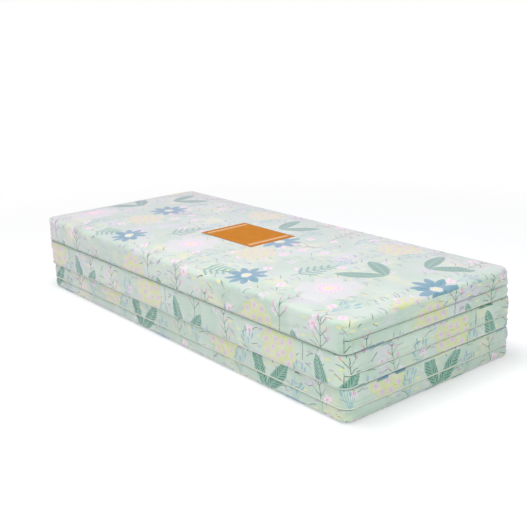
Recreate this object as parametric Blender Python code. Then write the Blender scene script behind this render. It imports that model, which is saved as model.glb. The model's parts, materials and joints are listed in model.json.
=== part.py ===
"""Folding mattress of three wadded panels, stacked in a Z: each panel is a foam core in a two-part zipped
cover, and two sewn hinges let the middle and top panels swing out until all three lie flat in a row.

Metres, +Z up, origin on the floor under the middle of the stack. X runs along the panels, the near side is -Y.
"""

from dataclasses import dataclass
from math import cos, pi, radians, sin

import bmesh
import bpy
from mathutils import Vector

# Driving sizes of the stack
PANEL_LENGTH = 1.597
MIDDLE_WIDTH = 0.672
SETBACK = 0.008  # the free side of the bottom and top panels stands this far inside the middle panel
PANEL_HEIGHT = 0.0917
CLEARANCE = 0.0003  # between two pieces that touch
CORNER_RADIUS = 0.032
LEAST_CORNER_SHARE = 0.5  # the corners of the inner rings stay at least this round
PARALLEL_SHARE = 0.99  # of a full dot product, for edges that run the same way

# Cover: wadded cloth, in an upper and a lower part that meet at the zip
COVER_THICKNESS = 0.0024
UPPER_WALL = 0.046  # from the top of a panel down to its zip
SEAM_DRAW = 0.0015  # how far the zip draws the walls in

# Faces of a panel: radius of the edge, flat hem beside it, height of the crown and how far in it reaches
OUTER_EDGE_RADIUS = 0.012
OUTER_CROWN = 0.005
OUTER_REACH = 0.215
STACKED_EDGE_RADIUS = 0.005
STACKED_HEM = 0.016
STACKED_CROWN = 0.0012
STACKED_REACH = 0.070
FLOOR_EDGE_RADIUS = 0.008
FLOOR_HEM = 0.010
FLOOR_CROWN = 0.0008
FLOOR_REACH = 0.050

# Zip: tape behind the cover, coil on the tape, slider over the coil, and a hemmed flap outside
TAPE_THICKNESS = 0.0007
TAPE_LAP = 0.007  # behind each edge of the cover
COIL_HEIGHT = 0.005
COIL_THICKNESS = 0.0018
SLIDER_LENGTH = 0.011
SLIDER_PLATE = 0.001
SLIDER_FLANGE = 0.0017  # beside the coil at the slider's wide mouth
SLIDER_TAIL_FLANGE = 0.0007
SLIDER_ROUNDING = 0.0005
SLIDER_EDGE_ROOM = 0.0005
SLIDER_END_ROOM = 0.004  # from the end of the straight wall to the parked slider
FLAP_THICKNESS = 0.0014
FLAP_SEWN_HEIGHT = 0.008  # on the wall above the zip
FLAP_DROP = 0.002  # below the zip
FLAP_HEM_HEIGHT = 0.004
FLAP_HEM_SWELL = 0.0006

# Hinge: a bound seam with a bead on the hinge's axis and a tail that lies on the lower panel
BEAD_RADIUS = 0.0006
BINDING_THICKNESS = 0.0006
BINDING_TAIL = 0.012

# Label on top of the stack
LABEL_LENGTH = 0.270
LABEL_WIDTH = 0.185
LABEL_THICKNESS = 0.0006
LABEL_CORNER = 0.004
LABEL_X = -0.010
LABEL_Y = 0.009

# Counts
CORNER_STEPS = 6
EDGE_STEPS = 3
CORE_EDGE_STEPS = 2
BEAD_STEPS = 8
ROUNDING_STEPS = 2
LABEL_CORNER_STEPS = 3
CROWN_RING_SHARES = (1.0, 0.55, 0.2)
CORE_RING_SHARES = (1.0, 0.4)

# Worked out from the sizes above
PITCH = PANEL_HEIGHT + CLEARANCE
HINGE_OFFSET = BEAD_RADIUS + CLEARANCE  # from the wall of a panel out to its hinge's axis
SLIDER_MOUTH = COIL_HEIGHT + 2 * (CLEARANCE + SLIDER_FLANGE)
ZIP_GAP = SLIDER_MOUTH + 2 * SLIDER_EDGE_ROOM
TAPE_FRONT = SEAM_DRAW + COVER_THICKNESS + CLEARANCE
TAPE_BACK = TAPE_FRONT + TAPE_THICKNESS
CORE_INSET = TAPE_BACK + CLEARANCE
COIL_BACK = TAPE_FRONT - CLEARANCE
COIL_FRONT = COIL_BACK - COIL_THICKNESS
PLATE_BACK = COIL_FRONT - CLEARANCE
PLATE_FRONT = PLATE_BACK - SLIDER_PLATE
FLAP_BACK = min(PLATE_FRONT, SEAM_DRAW) - CLEARANCE

SIDES = ("right", "far", "left", "near")  # each follows the corner of the same number
CORNER_SIGNS = ((1, -1), (1, 1), (-1, 1), (-1, -1))

MATERIALS = {
    "printed_cloth": ((0.66, 0.78, 0.70), 0.85, 0.0),
    "hem_cloth": ((0.86, 0.88, 0.78), 0.85, 0.0),
    "foam": ((0.90, 0.85, 0.66), 0.95, 0.0),
    "zip_tape": ((0.55, 0.70, 0.62), 0.8, 0.0),
    "zip_coil": ((0.72, 0.80, 0.74), 0.4, 0.0),
    "slider_metal": ((0.62, 0.63, 0.64), 0.35, 1.0),
    "hinge_binding": ((0.35, 0.50, 0.42), 0.85, 0.0),
    "label": ((0.88, 0.42, 0.13), 0.6, 0.0),
}


@dataclass
class Face:
    """The form of a panel's top or underside."""

    radius: float
    hem: float
    crown: float
    reach: float


OUTER_FACE = Face(OUTER_EDGE_RADIUS, 0, OUTER_CROWN, OUTER_REACH)
STACKED_FACE = Face(STACKED_EDGE_RADIUS, STACKED_HEM, STACKED_CROWN, STACKED_REACH)
FLOOR_FACE = Face(FLOOR_EDGE_RADIUS, FLOOR_HEM, FLOOR_CROWN, FLOOR_REACH)


@dataclass
class Panel:
    """One panel: its place in the stack, its width, its hinged sides and the form of its two faces."""

    name: str
    level: int
    width: float
    y: float
    hinges: tuple
    upper_face: Face
    lower_face: Face

    @property
    def base(self):
        return self.level * PITCH

    @property
    def top(self):
        return self.base + PANEL_HEIGHT

    @property
    def zip_top(self):
        return self.top - UPPER_WALL

    @property
    def zip_base(self):
        return self.zip_top - ZIP_GAP

    @property
    def columns(self):
        """(corner, angle, side) of each point of the outline, where side is what follows the point. A corner
        beside a hinged side is split by the upright seam that joins the two parts of the cover there."""
        found = []
        half_gap = CLEARANCE / 2 / CORNER_RADIUS
        for corner, after in enumerate(SIDES):
            before = SIDES[corner - 1]
            start = radians(90 * (corner - 1))
            split = before in self.hinges or after in self.hinges
            for step in range(CORNER_STEPS + 1):
                angle = start + radians(90) * step / CORNER_STEPS
                middle = 2 * step == CORNER_STEPS
                if middle and split:
                    found.append((corner, angle - half_gap, "seam"))
                    found.append((corner, angle + half_gap, after))
                else:
                    found.append((corner, angle, before if 2 * step < CORNER_STEPS else after))
        return found


def outline(panel, inset):
    """The panel's rounded outline drawn in by inset, anticlockwise from the near right corner."""
    radius = max(CORNER_RADIUS - inset, CORNER_RADIUS * LEAST_CORNER_SHARE)
    half_length = PANEL_LENGTH / 2 - inset - radius
    half_width = panel.width / 2 - inset - radius
    points = []
    for corner, angle, _ in panel.columns:
        sign_x, sign_y = CORNER_SIGNS[corner]
        x = sign_x * half_length + radius * cos(angle)
        y = panel.y + sign_y * half_width + radius * sin(angle)
        points.append((x, y))
    return points


def crown_rings(face, start, shares):
    """(inset, rise) of the rings of a face, from its flat middle out to start, where the crown begins."""
    for share in shares:
        yield start + share * (face.reach - start), face.crown * (1 - (1 - share) ** 2)


def edge_rings(radius, steps):
    """(inset, drop, angle) of a quarter round, from the face over to the wall."""
    for step in range(steps + 1):
        angle = pi / 2 * step / steps
        yield radius * (1 - sin(angle)), radius * (1 - cos(angle)), angle


def half_rings(face, rim, way):
    """(inset, height, angle) of each ring from the middle of a face to its wall, where angle is how far the
    surface has turned from the face towards the wall, and way is 1 for a top and -1 for an underside."""
    start = face.radius + face.hem
    rings = [(inset, rim + way * rise, 0) for inset, rise in crown_rings(face, start, CROWN_RING_SHARES)]
    if face.hem:
        rings.append((start, rim, 0))
    if way < 0:
        rings.append((face.radius + CLEARANCE, rim, 0))
    edge = edge_rings(face.radius, EDGE_STEPS)
    return rings + [(inset, rim - way * drop, angle) for inset, drop, angle in edge]


def cover_rings(panel):
    """(outer ring, inner ring, band) of the cover, from the middle of the top down to the middle of the
    underside. A ring is (inset, height), and band names what lies between the ring and the next."""
    upper = half_rings(panel.upper_face, panel.top - panel.upper_face.crown, 1)
    lower = half_rings(panel.lower_face, panel.base + panel.lower_face.crown, -1)[::-1]
    walls = [(SEAM_DRAW, panel.zip_top, pi / 2), (SEAM_DRAW, panel.zip_base, pi / 2)]
    bands = ["upper"] * len(upper) + ["zip", "lower"] + ["lower"] * EDGE_STEPS + ["hem"]
    bands += ["underside"] * (len(lower) - EDGE_STEPS - 1)
    found = []
    for number, (inset, height, angle) in enumerate(upper + walls + lower):
        down = 1 if number < len(upper) else -1
        inner = (inset + COVER_THICKNESS * sin(angle), height - down * COVER_THICKNESS * cos(angle))
        found.append(((inset, height), inner, bands[number]))
    return found


def owner(panel, band, side):
    """Which part of the cover holds this band of this side, or None where the two parts leave a gap. A hinged
    side has no zip, so its whole wall belongs to the upper part."""
    if band == "upper":
        return "upper_cover"
    if band == "underside":
        return "lower_cover"
    if side in panel.hinges:
        return None if band == "hem" else "upper_cover"
    return None if side == "seam" or band == "zip" else "lower_cover"


def new_object(name, mesh_data, material):
    """A node of the mattress with its material, in the mattress's collection."""
    mesh = bpy.data.meshes.new(name)
    mesh_data.to_mesh(mesh)
    mesh_data.free()
    mesh.materials.append(bpy.data.materials[material])
    node = bpy.data.objects.new(name, mesh)
    collection.objects.link(node)
    return node


def smooth(node, sharp_over=radians(40)):
    node.data.shade_smooth()
    node.data.set_sharp_from_angle(angle=sharp_over)


def add_grid(bm, panel, rings):
    """The points of each (inset, height) ring."""
    return [[bm.verts.new((x, y, height)) for x, y in outline(panel, inset)] for inset, height in rings]


def add_skin(bm, grid, wanted, inwards=False):
    """Joins each ring to the next, in the cells that wanted(ring, column) picks."""
    faces = []
    for ring, (above, below) in enumerate(zip(grid, grid[1:])):
        for column in range(len(above)):
            after = (column + 1) % len(above)
            if wanted(ring, column):
                corners = (above[column], below[column], below[after], above[after])
                faces.append(bm.faces.new(corners[::-1] if inwards else corners))
    return faces


def make_cover(panel, part):
    """The upper or lower part of a panel's cover: its share of the lofted skin, inside and out, closed round
    the edge by a rim."""
    outer_rings, inner_rings, bands = zip(*cover_rings(panel))
    sides = [side for _, _, side in panel.columns]
    bm = bmesh.new()
    outer, inner = add_grid(bm, panel, outer_rings), add_grid(bm, panel, inner_rings)

    def wanted(ring, column):
        return owner(panel, bands[ring], sides[column]) == part

    skin = add_skin(bm, outer, wanted)
    add_skin(bm, inner, wanted, inwards=True)
    if part == "upper_cover":
        skin.append(bm.faces.new(outer[0]))
        bm.faces.new(inner[0][::-1])
    else:
        skin.append(bm.faces.new(outer[-1][::-1]))
        bm.faces.new(inner[-1])
    behind = {point: inner[i][j] for i, ring in enumerate(outer) for j, point in enumerate(ring)}
    for edge in [edge for face in skin for edge in face.edges if edge.is_boundary]:
        first, second = edge.verts
        bm.faces.new((first, second, behind[second], behind[first]))
    bmesh.ops.delete(bm, geom=[point for point in bm.verts if not point.link_faces], context="VERTS")
    bmesh.ops.recalc_face_normals(bm, faces=bm.faces)
    node = new_object(f"{panel.name}_{part}", bm, "printed_cloth")
    smooth(node)
    return node


def make_core(panel):
    """The foam slab that fills the cover, with the same crown."""
    layer = COVER_THICKNESS + CLEARANCE
    rings = []
    for face, rim, way in (
        (panel.upper_face, panel.top - panel.upper_face.crown - layer, 1),
        (panel.lower_face, panel.base + panel.lower_face.crown + layer, -1),
    ):
        start = CORE_INSET + face.radius + face.hem
        half = [(inset, rim + way * rise) for inset, rise in crown_rings(face, start, CORE_RING_SHARES)]
        if face.hem:
            half.append((start, rim))
        for inset, drop, _ in edge_rings(face.radius, CORE_EDGE_STEPS):
            half.append((CORE_INSET + inset, rim - way * drop))
        rings += half[::way]
    bm = bmesh.new()
    grid = add_grid(bm, panel, rings)
    add_skin(bm, grid, lambda ring, column: True)
    bm.faces.new(grid[0])
    bm.faces.new(grid[-1][::-1])
    node = new_object(f"{panel.name}_core", bm, "foam")
    smooth(node)
    return node


def zip_runs(panel):
    """The runs of outline columns that the zip follows: every side but the hinged ones, from seam to seam."""
    sides = [side for _, _, side in panel.columns]
    count = len(sides)
    first = sides.index("seam")
    runs = [[]]
    for column in range(first, first + count):
        side = sides[column % count]
        if side == "seam" or side in panel.hinges:
            runs.append([])
        else:
            runs[-1].append(column % count)
    return [run + [(run[-1] + 1) % count] for run in runs if run]


def run_name(panel, run):
    """A panel with two zips tells them apart by the side that each is on."""
    if len(panel.hinges) == 1:
        return ""
    return "_" + panel.columns[run[0]][2]


def make_band(panel, run, name, section, material):
    """A strip that follows the outline along a run, with a closed section of (inset, height) points."""
    bm = bmesh.new()
    lines = []
    for inset, height in section:
        points = outline(panel, inset)
        lines.append([bm.verts.new((*points[column], height)) for column in run])
    for line, other in zip(lines, lines[1:] + lines[:1]):
        for column in range(len(run) - 1):
            bm.faces.new((line[column], line[column + 1], other[column + 1], other[column]))
    bm.faces.new([line[0] for line in lines])
    bm.faces.new([line[-1] for line in lines])
    bmesh.ops.recalc_face_normals(bm, faces=bm.faces)
    node = new_object(f"{panel.name}_{name}{run_name(panel, run)}", bm, material)
    smooth(node)
    return node


def wall_inset(panel, height):
    """How far in the upper wall stands at this height: it slopes in from the edge's rounding to the zip."""
    shoulder = panel.top - panel.upper_face.crown - panel.upper_face.radius
    return SEAM_DRAW * (shoulder - height) / (shoulder - panel.zip_top)


def make_zip(panel, run):
    """Tape, coil and flap of one zip."""
    tape_top = panel.zip_top + TAPE_LAP
    tape_base = panel.zip_base - TAPE_LAP
    tape = [(TAPE_FRONT, tape_top), (TAPE_FRONT, tape_base), (TAPE_BACK, tape_base), (TAPE_BACK, tape_top)]
    coil_base = (panel.zip_top + panel.zip_base - COIL_HEIGHT) / 2
    coil_top = coil_base + COIL_HEIGHT
    coil = [(COIL_FRONT, coil_top), (COIL_FRONT, coil_base), (COIL_BACK, coil_base), (COIL_BACK, coil_top)]
    sewn_top = panel.zip_top + FLAP_SEWN_HEIGHT
    sewn_inset = wall_inset(panel, sewn_top) - CLEARANCE
    hem_base = panel.zip_base - FLAP_DROP
    hem_top = hem_base + FLAP_HEM_HEIGHT
    flap = [
        (sewn_inset, sewn_top),
        (FLAP_BACK, panel.zip_top),
        (FLAP_BACK, hem_base),
        (FLAP_BACK - FLAP_THICKNESS, hem_base),
        (FLAP_BACK - FLAP_THICKNESS - FLAP_HEM_SWELL, (hem_base + hem_top) / 2),
        (FLAP_BACK - FLAP_THICKNESS, hem_top),
        (sewn_inset - FLAP_THICKNESS, sewn_top),
    ]
    return [
        make_band(panel, run, "zip_tape", tape, "zip_tape"),
        make_band(panel, run, "zip_coil", coil, "zip_coil"),
        make_band(panel, run, "zip_flap", flap, "hem_cloth"),
    ]


def prism(points, depth):
    """A closed body: the outline swept along depth."""
    bm = bmesh.new()
    face = bm.faces.new([bm.verts.new(point) for point in points])
    swept = bmesh.ops.extrude_face_region(bm, geom=[face], use_keep_orig=True)["geom"]
    bmesh.ops.translate(bm, verts=[v for v in swept if isinstance(v, bmesh.types.BMVert)], vec=depth)
    bmesh.ops.recalc_face_normals(bm, faces=bm.faces)
    return bm


def round_corners(bm, depth, radius, steps):
    """Rounds the edges that run along depth."""
    along = []
    for edge in bm.edges:
        run = edge.verts[1].co - edge.verts[0].co
        if abs(run.normalized().dot(depth.normalized())) > PARALLEL_SHARE:
            along.append(edge)
    bmesh.ops.bevel(bm, geom=along, offset=radius, segments=steps, affect="EDGES", profile=0.5)


def make_slider(panel, side):
    """The zip's slider: a plate, wide at the mouth, whose flanges reach past the coil on both sides. It is
    parked at the hinged end of the straight wall, where the zip is shut, with its mouth the other way."""
    way = 1 if side == "right" else -1
    opening = 1 if "near" in panel.hinges else -1
    half_mouth = SLIDER_MOUTH / 2
    half_tail = COIL_HEIGHT / 2 + CLEARANCE + SLIDER_TAIL_FLANGE
    mouth = opening * SLIDER_LENGTH / 2
    shield = [(-mouth, -half_tail), (0, -half_mouth), (mouth, -half_mouth)]
    shield += [(y, -z) for y, z in reversed(shield)]
    depth = Vector((-way * (COIL_BACK - PLATE_FRONT), 0, 0))
    body = prism([(0, y, z) for y, z in shield], depth)
    round_corners(body, depth, SLIDER_ROUNDING, ROUNDING_STEPS)
    name = f"{panel.name}_zip_slider" + ("" if len(panel.hinges) == 1 else f"_{side}")
    node = new_object(name, body, "slider_metal")

    channel_half = COIL_HEIGHT / 2 + CLEARANCE
    channel_depth = Vector((-way * (COIL_BACK - PLATE_BACK + SLIDER_PLATE), 0, 0))
    floor = -way * SLIDER_PLATE
    ends = [(-SLIDER_LENGTH, -channel_half), (SLIDER_LENGTH, -channel_half)]
    ends += [(y, -z) for y, z in reversed(ends)]
    channel = new_object(f"{name}_channel", prism([(floor, y, z) for y, z in ends], channel_depth), "slider_metal")
    collection.objects.unlink(channel)
    cutters.objects.link(channel)
    channel.hide_render = True
    channel.display_type = "WIRE"
    cut = node.modifiers.new("coil_channel", "BOOLEAN")
    cut.operation = "DIFFERENCE"
    cut.object = channel

    parked = panel.y - opening * (panel.width / 2 - CORNER_RADIUS - SLIDER_END_ROOM - SLIDER_LENGTH / 2)
    place = Vector((way * (PANEL_LENGTH / 2 - PLATE_FRONT), parked, (panel.zip_top + panel.zip_base) / 2))
    node.location = place
    channel.location = place
    return [node, channel]


def make_binding(name, lower, side, axis):
    """The bound seam of a hinge: a bead on the axis, and a tail that turns in and lies on the lower panel."""
    way = -1 if side == "near" else 1
    wall = lower.y + way * lower.width / 2
    face = lower.upper_face
    rest = lower.top - face.crown + CLEARANCE
    edge = wall - way * face.radius
    tail = edge - way * BINDING_TAIL
    half = BINDING_THICKNESS / 2
    bead = []
    for step in range(1, BEAD_STEPS):
        angle = 2 * pi * step / BEAD_STEPS
        bead.append((axis.y - way * BEAD_RADIUS * cos(angle), axis.z - BEAD_RADIUS * sin(angle)))
    section = [(tail, rest), (edge, rest), *bead, (edge, rest + 2 * half), (tail, rest + 2 * half)]
    half_length = PANEL_LENGTH / 2 - CORNER_RADIUS
    body = prism([(-half_length, y, z) for y, z in section], Vector((2 * half_length, 0, 0)))
    return new_object(name, body, "hinge_binding")


def make_label(panel):
    """The plain patch on the flat middle of the top panel."""
    base = panel.top + CLEARANCE
    corners = []
    for sign_x, sign_y in CORNER_SIGNS:
        corners.append((LABEL_X + sign_x * LABEL_LENGTH / 2, LABEL_Y + sign_y * LABEL_WIDTH / 2, base))
    depth = Vector((0, 0, LABEL_THICKNESS))
    body = prism(corners, depth)
    round_corners(body, depth, LABEL_CORNER, LABEL_CORNER_STEPS)
    return new_object("label_patch", body, "label")


def carry(parent, nodes):
    """Parents the nodes to an empty, keeping them where they are."""
    for node in nodes:
        node.parent = parent
        node.location -= parent.matrix_world.translation


def make_empty(name, place, parent=None):
    empty = bpy.data.objects.new(name, None)
    collection.objects.link(empty)
    empty.location = place
    if parent:
        carry(parent, [empty])
    bpy.context.view_layer.update()
    return empty


def make_panel(panel):
    """Every piece of one panel: the rigid ones first, then its sliders."""
    nodes = [make_core(panel), make_cover(panel, "upper_cover"), make_cover(panel, "lower_cover")]
    for run in zip_runs(panel):
        nodes += make_zip(panel, run)
    slider_sides = ("left",) if len(panel.hinges) == 1 else ("right", "left")
    for side in slider_sides:
        nodes += make_slider(panel, side)
    return nodes


def make_materials():
    for slot, (colour, roughness, metallic) in MATERIALS.items():
        material = bpy.data.materials.new(slot)
        material.use_nodes = True
        shader = material.node_tree.nodes["Principled BSDF"]
        shader.inputs["Base Color"].default_value = (*colour, 1)
        shader.inputs["Roughness"].default_value = roughness
        shader.inputs["Metallic"].default_value = metallic


for old in list(bpy.data.objects):
    bpy.data.objects.remove(old, do_unlink=True)
collection = bpy.data.collections.new("folding_mattress")
cutters = bpy.data.collections.new("cutters")
bpy.context.scene.collection.children.link(collection)
bpy.context.scene.collection.children.link(cutters)
make_materials()

outer_width = MIDDLE_WIDTH - SETBACK
bottom = Panel("bottom", 0, outer_width, SETBACK / 2, ("far",), STACKED_FACE, FLOOR_FACE)
middle = Panel("middle", 1, MIDDLE_WIDTH, 0, ("near", "far"), STACKED_FACE, STACKED_FACE)
top = Panel("top", 2, outer_width, -SETBACK / 2, ("near",), OUTER_FACE, STACKED_FACE)

# The middle panel turns on the far hinge and the top panel on the near one, each between two panels
far_axis = Vector((0, MIDDLE_WIDTH / 2 + HINGE_OFFSET, middle.base - CLEARANCE / 2))
near_axis = Vector((0, -MIDDLE_WIDTH / 2 - HINGE_OFFSET, top.base - CLEARANCE / 2))
bottom_frame = make_empty("bottom_frame", Vector((0, 0, 0)))
middle_frame = make_empty("middle_frame", far_axis, bottom_frame)
top_frame = make_empty("top_frame", near_axis, middle_frame)

carry(bottom_frame, [*make_panel(bottom), make_binding("hinge_binding_far", bottom, "far", far_axis)])
carry(middle_frame, [*make_panel(middle), make_binding("hinge_binding_near", middle, "near", near_axis)])
carry(top_frame, [*make_panel(top), make_label(top)])
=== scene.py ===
"""Looks of the folding mattress: three wadded panels in a printed cover, stacked in a Z, on a pale floor.

Metres, +Z up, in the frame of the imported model. X runs along the panels and the near side is -Y.
"""

import json
from dataclasses import dataclass
from math import cos, pi, radians, sin, tau

import bpy
import numpy as np
from mathutils import Matrix, Vector


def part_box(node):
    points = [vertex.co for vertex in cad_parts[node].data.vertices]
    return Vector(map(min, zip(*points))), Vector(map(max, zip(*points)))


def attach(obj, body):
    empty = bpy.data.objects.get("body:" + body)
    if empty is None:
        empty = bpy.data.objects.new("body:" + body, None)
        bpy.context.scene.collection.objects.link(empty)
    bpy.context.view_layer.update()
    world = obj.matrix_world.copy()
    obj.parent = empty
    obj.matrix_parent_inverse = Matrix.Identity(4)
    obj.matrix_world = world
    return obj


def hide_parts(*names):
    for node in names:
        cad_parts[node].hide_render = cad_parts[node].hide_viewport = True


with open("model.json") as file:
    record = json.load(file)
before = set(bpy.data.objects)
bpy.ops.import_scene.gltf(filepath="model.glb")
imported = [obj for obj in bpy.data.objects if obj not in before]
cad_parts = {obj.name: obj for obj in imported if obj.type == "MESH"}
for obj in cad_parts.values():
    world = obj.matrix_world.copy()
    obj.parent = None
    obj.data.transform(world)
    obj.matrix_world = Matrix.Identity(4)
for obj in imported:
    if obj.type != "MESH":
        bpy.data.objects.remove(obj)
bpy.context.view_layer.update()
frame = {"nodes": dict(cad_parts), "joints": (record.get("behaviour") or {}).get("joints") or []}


def srgb(red, green, blue):
    """A colour given as it shows on a screen, 0 to 255, as the linear numbers that shaders take."""
    shares = [channel / 255 for channel in (red, green, blue)]
    return (*[s / 12.92 if s <= 0.04045 else ((s + 0.055) / 1.055) ** 2.4 for s in shares], 1)


# The photograph's frame and its camera, fitted to the silhouette of the stack
PICTURE_SIDE = 527
FOCAL_PIXELS = 867.1
AZIMUTH = radians(51.504)
ELEVATION = radians(16.486)
ROLL = radians(-2.03)
DISTANCE = 2.9312
AIM_RIGHT = 0.0440  # from the object's origin to the camera's axis, along the picture's sides
AIM_UP = 0.1751

# Form of the panels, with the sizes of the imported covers
CORNER_RADIUS = 0.032
UPPER_WALL = 0.046
ZIP_GAP = 0.010
SHELL = 0.0022
CORE_INSET = 0.0068
SEAM_DRAW = 0.0015  # how far the zip draws the wall in
FREE_BULGE = 0.0012  # of a wall with a zip, between the zip and its edge
HINGED_HOLLOW = 0.0004  # of a wall that is sewn to the next panel

# Grid of a cover: insets of its lines beside an edge, their spacing further in, and the rows of its walls
EDGE_INSETS = (0, 0.0006, 0.002, 0.0042, 0.007, 0.0105, 0.015, 0.021, 0.0265, 0.032, 0.040, 0.049)
GRID_STEP = 0.0105
FOAM_INSETS = (0, 0.002, 0.007, 0.015, 0.0235, 0.032)
FOAM_STEP = 0.08
WALL_ROWS = 6
ZIP_ROWS = (0.0012, 0.0035)  # how far the rows beside the zip lie from it

# Edge that is sewn to the next panel: its radius, and over what length it tightens beside a corner
SEWN_RADIUS = 0.0026
SEWN_START = 0.05

# Upright seams at the corners, and the creases beside them
TUCK_DEPTH = 0.0045
TUCK_WIDTH = 0.0024
TUCK_FAN = 0.026
CREASE_DEPTH = 0.0015
CREASE_PITCH = 0.011
GATHER_DEPTH = 0.0008
GATHER_REACH = 0.009
GATHER_LENGTHS = (0.037, 0.024, 0.061)

# Flap over the zip
FLAP_SEWN = 0.013  # above the zip
FLAP_GAP = 0.0030  # from its lower edge down to the lower cover
FLAP_OUT = 0.0016  # its outer side, from the plane of the wall
FLAP_RAMP = (-0.0004, 0.0006, 0.0010, 0.0013)  # how thick it is at steps down from its sewn edge
RAMP_STEP = 0.0025
FLAP_CLEAR = 0.0011  # least distance from the wall, further down
FLAP_TAPER = 0.014
HEM_SWAY = 0.0007
LIP_SWELL = 0.0007
TOP_LIP = 0.0030
MIDDLE_LIP = 0.0036
BOTTOM_LIP = 0.0048

# Bound seams
BEAD = 0.0011
CORD_STEP = 0.008
CORD_THICK = 0.0007
CORD_EDGE = 0.0052  # from the hinge's axis to where the bead starts
CORD_SWAY = 0.0002

# Label
LABEL_THICK = 0.0008
LABEL_SLOPE = 0.004  # how far in it reaches its full thickness
LABEL_SEAM = 0.0055
DIMPLE_DEPTH = 0.00035  # along its seam
DIMPLE_WIDTH = 0.0022
LABEL_GRID = (54, 37)
LABEL_STRIPES = ((0.024, 0.006), (0.033, 0.0024))  # how far each lies from the end, and how wide it is

# Cloth
THREAD_DEPTH = 0.00006
WADDING_DEPTH = 0.0007
PRINT_WEAVE = 0.0011
PLAIN_WEAVE = 0.0012
RIB_PITCH = 0.0014
RIB_DEPTH = 0.00004
LABEL_THREADS = 0.00003
COIL_PITCH = 0.0016
COIL_DEPTH = 0.0004
PRINT_SHEEN = 0.85
PLAIN_SHEEN = 0.12
SHEEN_ROUGHNESS = 0.45
SHEEN_TINT = srgb(250, 222, 253)

# Print: its repeat, the pitch of the strokes on its leaves, and where its large motifs lie in a repeat.
# Each place is a share across, a share up, a turn in degrees and a size.
REPEAT = 0.64
UNDERSIDE_OFFSET = (0.21, 0.13)
VEIN_PITCH = 0.0078
UMBELS = ((0.13, 0.20, 10, 1.25), (0.70, 0.67, 75, 1.15))
ROSES = ((0.33, 0.55, 30, 1.4),)
ASTERS = ((0.62, 0.88, 15, 1.4), (0.93, 0.43, 50, 1.25))
LEAVES = ((0.43, 0.04, 78, 1.4), (0.38, 0.84, 185, 1.5))
FERNS = ((0.09, 0.58, 78, 1.35), (0.68, 0.36, 20, 1.2))
TWIGS = ((0.53, 0.19, 88, 1.2), (0.78, 0.10, 97, 1.1), (0.28, 0.25, 84, 1.2), (0.82, 0.93, 200, 1.3))
REEDS = (
    (0.25, 0.10, 0, 1.2),
    (0.92, 0.15, 5, 1.2),
    (0.62, 0.07, -8, 1.2),
    (0.52, 0.44, 0, 1.2),
    (0.12, 0.83, 6, 1.1),
)

# Its colours
GROUND = srgb(187, 207, 190), srgb(200, 215, 201)
WASH_YELLOW = srgb(218, 220, 186)
WASH_LILAC = srgb(210, 206, 216)
MAUVE = srgb(186, 178, 194)
STRAW = srgb(228, 222, 160)
BLADE_BLUE = srgb(140, 178, 188)
STEM = srgb(76, 96, 80)
PINK = srgb(218, 172, 192)
PINK_PALE = srgb(234, 214, 222)
LEAF = srgb(136, 180, 158)
LEAF_PALE = srgb(156, 192, 174)
LEAF_DARK = srgb(66, 116, 102)
BLOSSOM = srgb(210, 214, 210)
YELLOW = srgb(208, 214, 158)
YELLOW_DEEP = srgb(182, 192, 134)
YELLOW_PALE = srgb(210, 217, 182)
LILAC = srgb(212, 202, 210)
BLUE = srgb(112, 158, 170)
BLUE_DEEP = srgb(78, 124, 144)

# Colours of the other materials. Those in pairs are two shades that are mixed.
# The hem's pale cream: partly its own colour, partly a painted highlight where the rolled lip catches the
# light
HEM_AND_HIGHLIGHT = srgb(214, 218, 204), srgb(224, 227, 214)
BINDING = srgb(150, 176, 160), srgb(168, 190, 174)
ORANGE = srgb(180, 113, 32), srgb(187, 123, 44)
ORANGE_DARK = srgb(148, 86, 30)
LABEL_PALE = srgb(226, 196, 168)
# The tape, darker than its own colour: partly painted shade in the slit under the flap
TAPE_AND_SLIT_SHADE = srgb(104, 138, 120), srgb(122, 154, 136)
# The coil in a shaded and a lit shade: painted shade between its turns and painted light on them
COIL_LIT_AND_SHADED = srgb(150, 175, 162), srgb(196, 214, 204)
FOAM = srgb(226, 212, 168), srgb(238, 226, 188)
THREAD = srgb(196, 214, 200), srgb(222, 234, 222)
ZINC = srgb(150, 152, 154), srgb(172, 174, 176)

# Light and floor
AMBIENT_COLOUR = srgb(252, 253, 255)
AMBIENT = 0.56
KEY_POWER = 89
KEY_COLOUR = (0.99, 0.965, 1)
FILL_POWER = 34
FILL_COLOUR = (0.83, 1, 0.93)
LAMP_AIM = (0, 0, 0.1)
FLOOR_RADIUS = 14
FLOOR_DROP = 0.0004
FLOOR_COLOUR = srgb(248, 249, 249)
FLOOR_FADE = (0.9, 2.6)
FLOOR_LIFT = 0.4

# Cloth simulation of the covers
SIM_FRAMES = 16
SIM_PRESSURE = 1.3
SIM_SLACK = 0.032
SIM_START = 0.0003  # unevenness of the cloth before it moves
CREASE_GAIN = 1.6
FREE_SWELL = 0.6  # share of the common swell that a stretch keeps
HINGED_SWELL = 0.05
TOP_SWELL = 0.0014
FREE_CAP = 0.0042
HINGED_CAP = 0.0007
TOP_CAP = 0.0034
INWARD_CAP = 0.0018
SIDEWAYS_CAP = 0.0020


@dataclass
class Face:
    """The form of a panel's top or underside: edge radius, flat hem, crown and how far in that reaches."""

    radius: float
    hem: float
    crown: float
    reach: float


OUTER_FACE = Face(0.012, 0.0, 0.005, 0.215)
STACKED_FACE = Face(0.005, 0.016, 0.0012, 0.070)
FLOOR_FACE = Face(0.008, 0.010, 0.0008, 0.050)


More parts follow.
